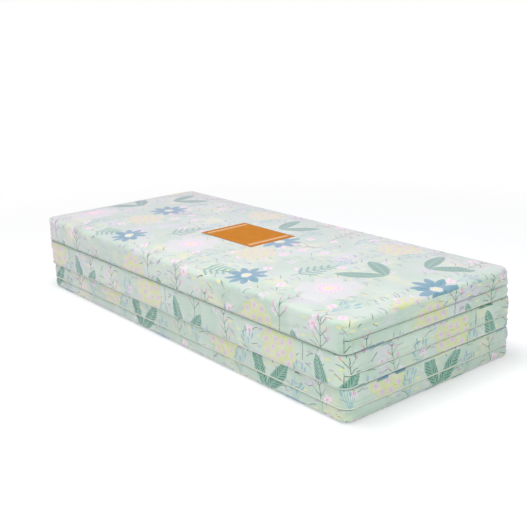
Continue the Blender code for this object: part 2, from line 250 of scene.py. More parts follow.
@dataclass
class Panel:
    """One panel: the sides on which its top and its underside are sewn to the next panel, if they are, its
    faces, where the print starts on it, and its place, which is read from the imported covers."""

    name: str
    upper_hinge: str
    lower_hinge: str
    upper_face: Face
    lower_face: Face
    print_offset: tuple
    # The hem's pale cream is partly a painted highlight where the rolled lip catches the light
    lip: float  # height of the cream hem that shows on the flap

    def __post_init__(self):
        upper_low, upper_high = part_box(f"{self.name}_upper_cover")
        lower_low, lower_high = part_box(f"{self.name}_lower_cover")
        self.low = Vector(map(min, upper_low, lower_low))
        self.high = Vector(map(max, upper_high, lower_high))
        self.body = f"{self.name}_panel"
        self.hinges = [side for side in (self.upper_hinge, self.lower_hinge) if side]
        self.zip_top = self.high.z - UPPER_WALL
        self.zip_base = self.zip_top - ZIP_GAP
        self.shoulder = self.high.z - self.upper_face.crown - self.upper_face.radius
        self.foot = self.low.z + self.lower_face.crown + self.lower_face.radius


def face_height(face, radius, inset_x, inset_y, inset):
    """How far a face stands below (or above, for an underside) the panel's extreme at these insets. Radius
    is that of the edge beside each point."""
    start = face.radius + face.hem

    def swell(distance):
        share = np.clip((distance - start) / (face.reach - start), 0, 1)
        return 1 - (1 - share) ** 2

    past = np.clip(1 - inset / radius, 0, 1)
    drop = radius * (1 - np.sqrt(1 - past**2))
    return face.crown * (1 - swell(inset_x) * swell(inset_y)) + drop


def line_places(low, high, insets, step):
    """Grid lines from low to high: at the insets beside both edges, and about a step apart between."""
    inner_low, inner_high = low + insets[-1], high - insets[-1]
    count = round((inner_high - inner_low) / step)
    middle = np.linspace(inner_low, inner_high, count + 1)[1:-1]
    return np.concatenate([low + np.array(insets), middle, high - np.array(insets[::-1])])


def rounded(x, y, low, high):
    """Moves the points of a rectangle's grid so that its corners are round. Returns x, y and the inset."""
    centre_x, centre_y = (low.x + high.x) / 2, (low.y + high.y) / 2
    inset_x = (high.x - low.x) / 2 - abs(x - centre_x)
    inset_y = (high.y - low.y) / 2 - abs(y - centre_y)
    share_x = np.clip(1 - inset_x / CORNER_RADIUS, 0, 1)
    share_y = np.clip(1 - inset_y / CORNER_RADIUS, 0, 1)
    round_x = share_x * np.sqrt(1 - share_y**2 / 2)
    round_y = share_y * np.sqrt(1 - share_x**2 / 2)
    moved_x = x + np.sign(x - centre_x) * (round_x - share_x) * CORNER_RADIUS
    moved_y = y + np.sign(y - centre_y) * (round_y - share_y) * CORNER_RADIUS
    in_corner = (share_x > 0) & (share_y > 0)
    corner_inset = CORNER_RADIUS * (1 - np.hypot(round_x, round_y))
    return moved_x, moved_y, np.where(in_corner, corner_inset, np.minimum(inset_x, inset_y))


def grid_quads(nx, ny):
    """The quads of a grid of points, which are numbered along y first."""
    number = np.arange(nx * ny).reshape(nx, ny)
    return np.stack([number[:-1, :-1], number[1:, :-1], number[1:, 1:], number[:-1, 1:]], -1).reshape(-1, 4)


def grid_rim(nx, ny):
    """The numbers of a grid's outer points, anticlockwise from the near left corner."""
    number = np.arange(nx * ny).reshape(nx, ny)
    return np.concatenate([number[:, 0], number[-1, 1:], number[-2::-1, -1], number[0, -2:0:-1]])


def tube_quads(sides, columns):
    """The quads round a tube of points, which are numbered along each side in turn."""
    number = np.arange(sides * columns).reshape(sides, columns)
    following = np.roll(number, -1, 0)
    return np.stack([number[:, :-1], following[:, :-1], following[:, 1:], number[:, 1:]], -1).reshape(-1, 4)


def lengths_along(path):
    """How far along a path each of its points lies."""
    return np.concatenate([[0], np.cumsum(np.linalg.norm(path[1:] - path[:-1], axis=1))])


class CoverGrid:
    """The closed skin of one panel as a grid: a top and an underside of nx by ny points, and walls whose
    columns follow the outline anticlockwise from the near left corner."""

    def __init__(self, panel, insets, step):
        self.panel = panel
        self.xs = line_places(panel.low.x, panel.high.x, insets, step)
        self.ys = line_places(panel.low.y, panel.high.y, insets, step)
        self.nx, self.ny = len(self.xs), len(self.ys)
        self.count = self.nx * self.ny
        x, y = np.meshgrid(self.xs, self.ys, indexing="ij")
        x, y, inset = rounded(x, y, panel.low, panel.high)
        inset_x = np.minimum(x - panel.low.x, panel.high.x - x)
        inset_y = np.minimum(y - panel.low.y, panel.high.y - y)
        depths = []
        for face, side in ((panel.upper_face, panel.upper_hinge), (panel.lower_face, panel.lower_hinge)):
            radius = np.full_like(x, face.radius)
            if side:
                reach = (y - panel.low.y) if side == "near" else (panel.high.y - y)
                from_corner = np.clip((inset_x - CORNER_RADIUS) / SEWN_START, 0, 1)
                radius -= (face.radius - SEWN_RADIUS) * from_corner * (reach < CORNER_RADIUS)
            depths.append(face_height(face, radius, inset_x, inset_y, inset).reshape(-1))

        self.flat = np.stack([x, y], -1).reshape(-1, 2)
        rim = grid_rim(self.nx, self.ny)
        self.outline = self.flat[rim]
        self.normal = self.outward()
        self.along = lengths_along(np.concatenate([self.outline, self.outline[:1]]))
        straight = np.argmax(self.outline[:, 0] > 0)
        self.along += self.outline[straight, 0] - self.along[straight]

        near_row, far_row = ZIP_ROWS
        above = np.linspace(panel.shoulder, panel.zip_top + far_row, WALL_ROWS)
        below = np.linspace(panel.zip_base - far_row, panel.foot, WALL_ROWS)
        zip_rows = (panel.zip_top + near_row, panel.zip_top, panel.zip_base, panel.zip_base - near_row)
        self.rows = np.array([*above, *zip_rows, *below])
        self.zip_row = WALL_ROWS + 1

        self.points = np.concatenate([
            np.column_stack([self.flat, panel.high.z - depths[0]]),
            np.column_stack([self.flat, panel.low.z + depths[1]]),
            *[self.wall_points(height) for height in self.rows[1:-1]],
        ])
        inner = np.arange(2 * self.count, len(self.points)).reshape(-1, len(rim))
        self.wall_index = np.concatenate([rim[None], inner, rim[None] + self.count])

    def outward(self):
        """Unit normal of the outline at each of its points."""
        low, high = self.panel.low, self.panel.high
        core_low = np.array([low.x, low.y]) + CORNER_RADIUS
        core_high = np.array([high.x, high.y]) - CORNER_RADIUS
        away = self.outline - np.clip(self.outline, core_low, core_high)
        return away / np.linalg.norm(away, axis=1)[:, None]

    def hinged_share(self):
        """1 on a hinged side, 0 on a free one, for each column. It changes at 45 degrees of a corner."""
        share = np.zeros(len(self.normal))
        for side, way in (("near", -1), ("far", 1)):
            if side in self.panel.hinges:
                share = np.maximum(share, (self.normal[:, 1] * way > sin(pi / 4)).astype(float))
        return share

    def wall_points(self, height):
        """The wall's points at this height: the zip draws it in, and it isn't flat between its edges."""
        panel = self.panel
        if height >= panel.zip_top:
            share = (panel.shoulder - height) / (panel.shoulder - panel.zip_top)
        elif height <= panel.zip_base:
            share = (height - panel.foot) / (panel.zip_base - panel.foot)
        else:
            share = 1
        free = SEAM_DRAW * share - FREE_BULGE * sin(pi * share)
        inset = np.where(self.hinged_share() > 0, HINGED_HOLLOW * sin(pi * share), free)
        return np.column_stack([self.outline - self.normal * inset[:, None], np.full(len(inset), height)])

    def faces(self):
        """Arrays of each face's four points, of its four places on the cloth, and of the part that it belongs
        to: 0 for the upper cover, 1 for the lower one and 2 for the gap at the zip."""
        top = grid_quads(self.nx, self.ny)
        under = top[:, [0, 3, 2, 1]]
        quads = [top, under + self.count]
        offset = np.array(self.panel.print_offset)
        places = [self.flat[top] + offset, (self.flat * (1, -1) + offset + UNDERSIDE_OFFSET)[under]]
        parts = [np.zeros(len(top), int), np.ones(len(under), int)]

        columns = np.arange(len(self.outline))
        following = np.roll(columns, -1)
        hinged = self.hinged_share()
        sewn = (hinged + np.roll(hinged, -1)) / 2 >= 0.75
        for row in range(len(self.rows) - 1):
            above, below = self.wall_index[row], self.wall_index[row + 1]
            quads.append(np.stack([above, below, below[following], above[following]], -1))
            places.append(self.wall_print(columns, self.rows[row], self.rows[row + 1]))
            part = 0 if row < self.zip_row else 2 if row == self.zip_row else 1
            parts.append(np.where(sewn, 0, part))
        return np.concatenate(quads), np.concatenate(places), np.concatenate(parts)

    def wall_print(self, columns, above, below):
        """Places on the cloth of the wall's quads that start at these columns, between two heights. The near
        and the far wall carry on from the face, and the end walls follow the near one round the corners."""
        low, high = self.panel.low, self.panel.high
        following = (columns + 1) % len(self.outline)
        far = (self.normal[columns, 1] + self.normal[following, 1]) / 2 > sin(pi / 4)
        u = np.where(far, self.outline[columns, 0], self.along[columns])
        u_next = np.where(far, self.outline[following, 0], self.along[columns + 1])
        v_above, v_below = (
            np.where(far, high.y + self.rows[0] - height, low.y - self.rows[0] + height)
            for height in (above, below)
        )
        corners = [(u, v_above), (u, v_below), (u_next, v_below), (u_next, v_above)]
        return np.stack([np.stack(pair, -1) for pair in corners], 1) + self.panel.print_offset


def new_piece(name, points, faces, material=None):
    """A smooth mesh, from lists of its points and faces."""
    mesh = bpy.data.meshes.new(name)
    mesh.from_pydata(points, [], faces)
    if material:
        mesh.materials.append(material)
    mesh.shade_smooth()
    mesh.update()
    piece = bpy.data.objects.new(name, mesh)
    bpy.context.scene.collection.objects.link(piece)
    return piece


def quad_piece(name, points, quads, places=None, material=None):
    """A smooth mesh of quads and the points that they use, with its places on the cloth as a UV map."""
    used, numbers = np.unique(quads, return_inverse=True)
    piece = new_piece(name, points[used].tolist(), numbers.reshape(quads.shape).tolist(), material)
    if places is not None:
        layer = piece.data.uv_layers.new(name="cloth")
        layer.data.foreach_set("uv", places.reshape(-1).astype(np.float32))
    return piece


def fit(piece, body, node):
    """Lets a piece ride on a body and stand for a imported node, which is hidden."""
    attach(piece, body)
    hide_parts(node)


def simulate(grid):
    """Lets the cover swell and crease as slack cloth under a little pressure, and returns how each point
    moved. Points on a seam, and on a face that rests on something, are held."""
    panel = grid.panel
    quads, _, _ = grid.faces()
    held = np.zeros(len(grid.points))
    held[grid.count : 2 * grid.count] = 1
    if panel.upper_face is not OUTER_FACE:
        held[: grid.count] = 1
    free = grid.hinged_share() < 0.5
    held[grid.wall_index[-1]] = 1
    for row in (grid.zip_row, grid.zip_row + 1):
        held[grid.wall_index[row][free]] = 1

    uneven = np.random.default_rng(len(panel.name)).uniform(-SIM_START, SIM_START, grid.points.shape)
    piece = quad_piece(f"{panel.name}_simulated", grid.points + uneven * (1 - held)[:, None], quads)
    group = piece.vertex_groups.new(name="held")
    used = np.unique(quads)
    for number in np.nonzero(held[used])[0]:
        group.add([int(number)], float(held[used][number]), "REPLACE")
    modifier = piece.modifiers.new("swell", "CLOTH")
    modifier.collision_settings.use_collision = False
    cloth = modifier.settings
    cloth.quality = 5
    cloth.mass = 0.25
    cloth.tension_stiffness = cloth.compression_stiffness = 12
    cloth.shear_stiffness = 6
    cloth.bending_stiffness = 0.12
    cloth.air_damping = 2
    cloth.shrink_min = -SIM_SLACK
    cloth.use_pressure = True
    cloth.uniform_pressure_force = SIM_PRESSURE
    cloth.effector_weights.gravity = 0
    cloth.vertex_group_mass = "held"
    scene = bpy.context.scene
    for number in range(1, SIM_FRAMES + 1):
        scene.frame_set(number)
    settled = piece.evaluated_get(bpy.context.evaluated_depsgraph_get())
    places = np.empty(len(settled.data.vertices) * 3)
    settled.data.vertices.foreach_get("co", places)
    moved = np.zeros_like(grid.points)
    moved[used] = places.reshape(-1, 3) - grid.points[used]
    bpy.data.objects.remove(piece)
    scene.frame_set(1)
    return moved


def limited(shift, outward, inward):
    """The shift, softly held between two limits."""
    return np.where(shift > 0, outward * np.tanh(shift / outward), -inward * np.tanh(-shift / inward))


def capped(grid, moved):
    """The simulated shifts as the cover makes them over its foam. Each stretch keeps part of its common swell
    and all of its creases, within what its place allows."""
    count = grid.count
    outward = np.zeros_like(grid.points)
    outward[:count, 2] = 1
    outward[count : 2 * count, 2] = -1
    for row in grid.wall_index[1:-1]:
        outward[row, :2] = grid.normal
    out = (moved * outward).sum(1)
    sideways = moved - outward * out[:, None]
    shaped = np.zeros(len(out))
    if grid.panel.upper_face is OUTER_FACE:
        common = out[:count].mean()
        shaped[:count] = limited((out[:count] - common) * CREASE_GAIN + TOP_SWELL, TOP_CAP, INWARD_CAP)
    hinged = grid.hinged_share() > 0.5
    for row in grid.wall_index[:-1]:
        for side, swell, cap in ((hinged, HINGED_SWELL, HINGED_CAP), (~hinged, FREE_SWELL, FREE_CAP)):
            index = row[side]
            if len(index):
                common = out[index].mean()
                shift = (out[index] - common) * CREASE_GAIN + common * swell
                shaped[index] = limited(shift, cap, INWARD_CAP)
    length = np.linalg.norm(sideways, axis=1)
    kept = SIDEWAYS_CAP * np.tanh(length / SIDEWAYS_CAP) / np.maximum(length, 1e-9)
    return outward * shaped[:, None] + sideways * kept[:, None]


def wave(along, phase, *lengths):
    """A gentle uneven wave along a seam, from -1 to 1."""
    waves = [np.sin(along * tau / length + phase * (i + 1.7)) for i, length in enumerate(lengths)]
    return sum(waves) / len(waves)


def pucker(grid, points):
    """Draws the skin in along the upright seams at the corners, where the two parts of the cover meet below
    the zip, with short creases that fan out from each, and gathers it along the sewn edges."""
    panel = grid.panel
    hinged = grid.hinged_share()
    along = grid.along[:-1]
    total = grid.along[-1] - grid.along[0]
    shaped = points.copy()
    for column in np.nonzero(hinged != np.roll(hinged, 1))[0]:
        reach = (along - along[column] + total / 2) % total - total / 2
        groove = np.exp(-((reach / TUCK_WIDTH) ** 2)) * TUCK_DEPTH
        fan = np.exp(-((reach / TUCK_FAN) ** 2)) * CREASE_DEPTH * np.sin(reach * tau / CREASE_PITCH)
        for row, height in enumerate(grid.rows):
            low = np.clip((panel.zip_top - height) / (panel.zip_top - panel.low.z) * 3, 0, 1)
            shift = groove * low + fan * (0.4 + 0.6 * low)
            shaped[grid.wall_index[row], :2] -= grid.normal * shift[:, None]

    gathers = wave(along, len(panel.name), *GATHER_LENGTHS) - 0.4
    for row, height in enumerate(grid.rows[:-1]):
        if row in (grid.zip_row, grid.zip_row + 1):
            continue
        from_zip = min(abs(height - panel.zip_top), abs(height - panel.zip_base))
        from_edge = min(grid.rows[0] - height, height - grid.rows[-1])
        near_seam = np.exp(-np.where(hinged > 0.5, from_edge, from_zip) / GATHER_REACH)
        shaped[grid.wall_index[row], :2] += grid.normal * (gathers * near_seam * GATHER_DEPTH)[:, None]
    return shaped


def steadied(grid, points):
    """The skin with its edges at the zip kept straight, so that the slider passes between them."""
    shift = points - grid.points
    free = grid.hinged_share() < 0.5
    for edge, way in ((grid.zip_row, -1), (grid.zip_row + 1, 1)):
        held = shift[grid.wall_index[edge][free]]
        for step, share in ((1, 1), (2, 0.5)):
            row = grid.wall_index[edge + way * step][free]
            shift[row] += (held - shift[row]) * share
    return grid.points + shift


def make_shells(grid, points):
    """The upper and lower cover of one panel."""
    quads, places, parts = grid.faces()
    for part, node in enumerate(("upper_cover", "lower_cover")):
        wanted = parts == part
        name = f"{grid.panel.name}_{node}"
        shell = quad_piece(f"{name}_cloth", points, quads[wanted], places[wanted], printed_cloth)
        wadding = shell.modifiers.new("wadding", "SOLIDIFY")
        wadding.thickness = SHELL
        wadding.offset = -1
        fit(shell, grid.panel.body, name)


def make_foam(panel):
    """The foam slab inside the cover."""
    grid = CoverGrid(panel, FOAM_INSETS, FOAM_STEP)
    quads, _, _ = grid.faces()
    piece = quad_piece(f"{panel.name}_foam", grid.points, quads, material=foam)
    normals = np.empty(len(piece.data.vertices) * 3)
    piece.data.vertices.foreach_get("normal", normals)
    for point, normal in zip(piece.data.vertices, normals.reshape(-1, 3)):
        point.co -= Vector(normal) * CORE_INSET
    fit(piece, panel.body, f"{panel.name}_core")


def free_runs(grid):
    """The runs of columns between the upright seams, on the sides that have a zip."""
    free = grid.hinged_share() < 0.5
    count = len(free)
    starts = [k for k in range(count) if free[k] and not free[k - 1]]
    runs = []
    for start in starts:
        run = []
        while free[(start + len(run)) % count]:
            run.append((start + len(run)) % count)
        runs.append(np.array([start - 1] + run + [(start + len(run)) % count]) % count)
    return runs


def make_flap(grid, points, run, node, phase):
    """The flap over one zip: sewn to the upper wall, with a rolled hem, and tucked into the seams at its
    ends. Returns the points of its stitch line."""
    panel = grid.panel
    outline, normal = grid.outline[run], grid.normal[run]
    reach = ((points[grid.wall_index[:, run]][:, :, :2] - outline) * normal).sum(-1)
    along = lengths_along(outline)
    share = np.clip(np.minimum(along, along[-1] - along) / FLAP_TAPER, 0, 1)
    share = share**2 * (3 - 2 * share)
    sway = wave(along, phase, 0.31, 0.117, 0.046) * HEM_SWAY

    sewn = panel.zip_top + FLAP_SEWN
    lip_base = panel.zip_base + FLAP_GAP
    lip_top = lip_base + panel.lip
    out = FLAP_OUT
    swell = LIP_SWELL + panel.lip * 0.1
    # Height, how far out, whether it is measured from the wall, how much it sways, and whether it is lip
    profile = [(sewn - RAMP_STEP * step, thick, True, 0, False) for step, thick in enumerate(FLAP_RAMP)]
    profile += [
        (lip_top + (sewn - lip_top) * 0.25, out * 0.9, False, 0.3, False),
        (lip_top + 0.0014, out, False, 0.6, False),
        (lip_top, out - 0.0007, False, 0.7, False),
        (lip_top - panel.lip * 0.12, out + swell * 0.7, False, 0.8, True),
        (lip_top - panel.lip * 0.4, out + swell, False, 1, True),
        (lip_top - panel.lip * 0.75, out + swell * 0.9, False, 1, True),
        (lip_base + 0.0002, out + swell * 0.35, False, 1, True),
        (lip_base, out - 0.0006, False, 1, True),
        (lip_base + 0.0008, 0.0003, False, 0.8, True),
        ((lip_base + sewn) / 2, -0.0002, False, 0.1, False),
        (sewn - 0.002, -0.0006, True, 0, False),
    ]
    rings = []
    for height, distance, from_wall, swing, _ in profile:
        surface = np.array([np.interp(-height, -grid.rows, reach[:, k]) for k in range(len(run))])
        place = surface + distance if from_wall else np.maximum(distance, surface + FLAP_CLEAR) + sway * swing
        place = surface + share * (place - surface) - (1 - share) * 0.0004
        rings.append(np.column_stack([outline + normal * place[:, None], height + sway * swing * 0.5]))
    rings = np.array(rings)
    levels = [entry[0] for entry in profile]
    stretches = zip(levels, levels[1:] + levels[:1])
    places = [grid.wall_print(run[:-1], above, below) for above, below in stretches]
    quads = tube_quads(*rings.shape[:2])
    flap = quad_piece(f"{node}_cloth", rings.reshape(-1, 3), quads, np.concatenate(places), printed_cloth)
    flap.data.materials.append(hem_cloth)
    # the lip's faces take the pale hem colour, which is partly a painted highlight on the rolled lip
    if panel.lip > TOP_LIP:
        lips = np.repeat([entry[-1] for entry in profile], len(run) - 1)
        flap.data.polygons.foreach_set("material_index", lips.astype(np.int32))
    fit(flap, panel.body, node)
    return rings[len(FLAP_RAMP) + 2]


def make_stitches(name, path, outward, body, spacing=0.0042, length=0.0030, thick=0.00042):
    """Small raised stitches along a path, each a slim capsule."""
    along = lengths_along(path)
    count = int(along[-1] / spacing)
    middle = (np.arange(count) + 0.5) * spacing

    def at(places, values):
        return np.stack([np.interp(places, along, values[:, axis]) for axis in range(3)], 1)

    forward = at(middle + length / 4, path) - at(middle - length / 4, path)
    forward /= np.linalg.norm(forward, axis=1)[:, None]
    out = at(middle, outward)
    out /= np.linalg.norm(out, axis=1)[:, None]
    side = np.cross(out, forward)
    sides = 6
    template = [(-0.5, 0, 0)]
    for position in (-0.3, 0.3):
        template += [(position, cos(tau * s / sides), sin(tau * s / sides)) for s in range(sides)]
    template.append((0.5, 0, 0))
    template = np.array(template)[None] * (length, thick, thick)
    points = at(middle, path)[:, None]
    for axis, way in enumerate((forward, side, out)):
        points = points + template[:, :, axis : axis + 1] * way[:, None]
    faces = []
    last = 2 * sides + 1
    for s in range(sides):
        after = (s + 1) % sides
        faces.append((0, 1 + after, 1 + s))
        faces.append((1 + s, 1 + after, 1 + sides + after, 1 + sides + s))
        faces.append((last, 1 + sides + s, 1 + sides + after))
    every = [[corner + n * (last + 1) for corner in face] for n in range(count) for face in faces]
    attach(new_piece(name, points.reshape(-1, 3).tolist(), every, thread), body)


def make_binding(name, body):
    """The bound seam of a hinge: a corded bead on the hinge's axis, and its tail on the panel below."""
    joint = next(j for j in frame["joints"] if j["name"] == name.replace("binding", "hinge"))
    axis_y, axis_z = joint["pos_m"][1:]
    node = f"hinge_binding_{name.split('_')[0]}"
    low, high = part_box(node)
    way = 1 if axis_y > 0 else -1
    inner = low.y if way > 0 else high.y
    edge = axis_y - way * CORD_EDGE
    x = np.linspace(low.x, high.x, round((high.x - low.x) / CORD_STEP) + 1)
    wobble = wave(x, axis_y * 9, 0.21, 0.07, 0.033) * CORD_SWAY
    bead = [(axis_y - way * BEAD * cos(a), axis_z - BEAD * sin(a)) for a in np.linspace(0.7, tau - 0.7, 9)]
    below, above = axis_z - CORD_THICK / 2, axis_z + CORD_THICK / 2
    section = [(inner, below), (edge, below), *bead, (edge, above), (inner, above)]
    rings = np.array([np.column_stack([x, y + wobble, z + wobble * 0.5]) for y, z in section])
    quads = tube_quads(*rings.shape[:2])[:, [0, 3, 2, 1] if way > 0 else [1, 2, 3, 0]]
    points = rings.reshape(-1, 3)
    piece = quad_piece(f"{name}_cord", points, quads, points[:, :2][quads], binding_cloth)
    fit(piece, body, node)


def top_height(grid, points, x, y):
    """Height of the panel's top at these places."""
    surface = points[: grid.count].reshape(grid.nx, grid.ny, 3)[:, :, 2]
    i = np.clip(np.searchsorted(grid.xs, x) - 1, 0, grid.nx - 2)
    j = np.clip(np.searchsorted(grid.ys, y) - 1, 0, grid.ny - 2)
    a = (x - grid.xs[i]) / (grid.xs[i + 1] - grid.xs[i])
    b = (y - grid.ys[j]) / (grid.ys[j + 1] - grid.ys[j])
    near = surface[i, j] * (1 - a) + surface[i + 1, j] * a
    far = surface[i, j + 1] * (1 - a) + surface[i + 1, j + 1] * a
    return near * (1 - b) + far * b


def make_label(grid, points):
    """The orange patch, which lies on the top of the stack and is sewn on round its edge."""
    low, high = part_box("label_patch")
    lines = [np.linspace(low[axis], high[axis], count) for axis, count in enumerate(LABEL_GRID)]
    x, y = np.meshgrid(*lines, indexing="ij")
    edge = np.minimum(np.minimum(x - low.x, high.x - x), np.minimum(y - low.y, high.y - y))
    rise = LABEL_THICK * (0.35 + 0.65 * np.clip(edge / LABEL_SLOPE, 0, 1))
    dimple = DIMPLE_DEPTH * np.exp(-(((edge - LABEL_SEAM) / DIMPLE_WIDTH) ** 2))
    top = np.stack([x, y, top_height(grid, points, x, y) + rise - dimple], -1).reshape(-1, 3)
    below = top.copy()
    below[:, 2] -= rise.reshape(-1) - 0.0001
    face, rim, size = grid_quads(*LABEL_GRID), grid_rim(*LABEL_GRID), len(top)
    after = np.roll(rim, -1)
    sides = np.stack([rim, rim + size, after + size, after], -1)
    quads = np.concatenate([face, face[:, ::-1] + size, sides])
    both = np.concatenate([top, below])
    uv = both[:, :2] - np.array([(low.x + high.x) / 2, (low.y + high.y) / 2])
    patch = quad_piece("label_patch_cloth", both, quads, uv[quads], label_cloth)
    patch.data.set_sharp_from_angle(angle=radians(50))
    fit(patch, "top_panel", "label_patch")

    left, right = low.x + LABEL_SEAM, high.x - LABEL_SEAM
    near, far = low.y + LABEL_SEAM, high.y - LABEL_SEAM
    corners = np.array([(left, near), (right, near), (right, far), (left, far), (left, near)])
    steps = np.arange(40)[:, None]
    path = [start + (end - start) * steps / len(steps) for start, end in zip(corners, corners[1:])]
    path = np.concatenate([*path, corners[:1]])
    heights = top_height(grid, points, path[:, 0], path[:, 1]) + LABEL_THICK * 0.75
    up = np.tile([0.0, 0.0, 1.0], (len(path), 1))
    line = np.column_stack([path, heights])
    make_stitches("label_stitches", line, up, "top_panel", spacing=0.0040, length=0.0028, thick=0.0003)


def plug(tree, value, socket):
    """Links a Field or a socket to the socket, or sets a plain value on it."""
    if isinstance(value, Field):
        tree.links.new(value.socket, socket)
    elif isinstance(value, bpy.types.NodeSocket):
        tree.links.new(value, socket)
    else:
        socket.default_value = value


def add(tree, kind, *values, **named):
    """A new shader node, with these values or links at its first inputs and at the named ones."""
    node = tree.nodes.new(f"ShaderNode{kind}")
    for socket, value in zip(node.inputs, values):
        plug(tree, value, socket)
    for name, value in named.items():
        plug(tree, value, node.inputs[name])
    return node


class Field:
    """A number that shader nodes work out at each place of a surface. Its operators add Math nodes."""

    def __init__(self, tree, socket):
        self.tree = tree
        self.socket = socket

    def math(self, operation, *others):
        node = add(self.tree, "Math", self, *others)
        node.operation = operation
        return Field(self.tree, node.outputs[0])

    def __add__(self, other):
        return self.math("ADD", other)

    def __sub__(self, other):
        return self.math("SUBTRACT", other)

    def __rsub__(self, other):
        return (self * -1.0).math("ADD", other)

    def __mul__(self, other):
        return self.math("MULTIPLY", other)

    def __truediv__(self, other):
        return self.math("DIVIDE", other)

    def __mod__(self, other):
        return self.math("FLOORED_MODULO", other)

    def __pow__(self, other):
        return self.math("POWER", other)

    def __abs__(self):
        return self.math("ABSOLUTE")

    __radd__ = __add__
    __rmul__ = __mul__


def split(tree, vector):
    """The three numbers of a vector or colour."""
    return [Field(tree, socket) for socket in add(tree, "SeparateXYZ", vector).outputs]


def mixed(tree, kind, share, first, second, blend="MIX"):
    """Two colours (RGBA) or vectors (VECTOR), mixed by a share."""
    node = add(tree, "Mix", share)
    node.data_type = kind
    node.blend_type = blend
    start, end = {"RGBA": (6, 2), "VECTOR": (4, 1)}[kind]
    plug(tree, first, node.inputs[start])
    plug(tree, second, node.inputs[start + 1])
    return node.outputs[end]


def over(tree, under, colour, mask):
    """The colour laid over another where the mask is 1."""
    return mixed(tree, "RGBA", mask, under, colour)


def soft_step(value, low, high):
    """0 where the value is at low, 1 where it is at high, and smooth between. High may be the lower one."""
    node = add(value.tree, "MapRange", value, low, high)
    node.interpolation_type = "SMOOTHSTEP"
    return Field(value.tree, node.outputs["Result"])


def inside(distance, soft=0.0006):
    """1 where a distance from an outline is negative."""
    return soft_step(distance, soft, -soft)


def band(beside, half, soft=0.0006):
    """1 where a place is less than half a width from a midline."""
    return inside(abs(beside) - half, soft)


def within(beside, half, soft=0.0007):
    """As band, for half a width that varies, and 0 once that is nothing."""
    return inside(abs(beside) - half + soft, soft)


def pointed(share, power):
    """Half a width that is nothing at both ends, where share is 0 and 1."""
    return (share * (1 - share)).math("MAXIMUM", 0.0) ** power


def clouds(tree, place, scale, detail=2.0):
    """Smooth noise, about 0.5 on average."""
    node = add(tree, "TexNoise", Vector=place, Scale=scale, Detail=detail, Roughness=0.5)
    return Field(tree, node.outputs["Fac"])


def polar(x, y):
    """(radius, angle)"""
    return (x * x + y * y).math("SQRT"), y.math("ARCTAN2", x)


def round_copies(radius, angle, count, place):
    """Places in the frame of the nearest of count copies in a ring, each this far out. X runs outwards."""
    folded = (angle * (count / tau) % 1.0 - 0.5) * (tau / count)
    return radius * folded.math("COSINE") - place, radius * folded.math("SINE")


def branches(x, y, pitch, slope):
    """A stem along x with side shoots in pairs. Returns how far along its shoot a place lies, how far beside
    it, and the shoot's number, counted from the foot of the stem."""
    out = abs(y) / sin(slope)
    foot = x - out * cos(slope)
    number = (foot / pitch).math("FLOOR")
    return out, (foot - (number + 0.5) * pitch) * sin(slope), number


class Paint:
    """The colour of a cloth, laid on in layers. Its places, in metres, come from the UV map called cloth."""

    def __init__(self, tree):
        self.tree = tree
        uv = add(tree, "UVMap")
        uv.uv_map = "cloth"
        self.place = uv.outputs[0]
        self.u, self.v, _ = split(tree, self.place)
        self.colour = None

    def lay(self, colour, mask):
        self.colour = over(self.tree, self.colour, colour, mask)

    def clouds(self, scale, detail=2.0):
        return clouds(self.tree, self.place, scale, detail)

    def mottled(self, low, high, scale, start, end):
        """Two shades mixed by smooth noise."""
        return over(self.tree, low, high, soft_step(self.clouds(scale), start, end))

    def scatter(self, columns, rows, start, seed, stray, turn=tau):
        """Small motifs all over the cloth: columns by rows of them in each repeat, every other column half a
        step lower. Returns the motif's own x and y, and two random numbers of each copy."""
        tree = self.tree
        wide, high = REPEAT / columns, REPEAT / rows
        across = (self.u - start[0]) / wide
        column = across.math("FLOOR")
        line = (self.v - start[1]) / high + (column % 2.0) * 0.5
        row = line.math("FLOOR")
        cell = add(tree, "CombineXYZ", column % float(columns), row % float(rows), seed)
        noise = add(tree, "TexWhiteNoise", Vector=cell.outputs[0])
        noise.noise_dimensions = "3D"
        first, second, third = split(tree, noise.outputs["Color"])
        x = (across - column - 0.5 + (first - 0.5) * stray) * wide
        y = (line - row - 0.5 + (second - 0.5) * stray) * high
        angle = (third - 0.5) * turn
        cosine, sine = angle.math("COSINE"), angle.math("SINE")
        return x * cosine + y * sine, y * cosine - x * sine, first, third

    def vector_math(self, operation, *values):
        node = add(self.tree, "VectorMath", *values)
        node.operation = operation
        return node.outputs

    def nearest(self, places, middle=0.0):
        """Large motifs, each at the places that the layout gives it. Returns the x and y of the nearest one,
        in its own frame: turned by its angle, and at size 1. Its middle lies this far along x."""
        tree = self.tree
        half = (REPEAT / 2,) * 3
        kept = least = None
        for u, v, turn, size in places:
            moved = self.vector_math("SUBTRACT", self.place, (u * REPEAT, v * REPEAT, 0))[0]
            centred = self.vector_math("WRAP", moved, half, [-h for h in half])[0]
            shape = {"Rotation": (0, 0, -radians(turn)), "Scale": (1 / size,) * 3}
            own = add(tree, "Mapping", centred, **shape).outputs[0]
            away = Field(tree, self.vector_math("DISTANCE", own, (middle, 0, 0))["Value"])
            if kept is None:
                kept, least = own, away
            else:
                kept = mixed(tree, "VECTOR", away.math("LESS_THAN", least), kept, own)
                least = away.math("MINIMUM", least)
        return split(tree, kept)[:2]


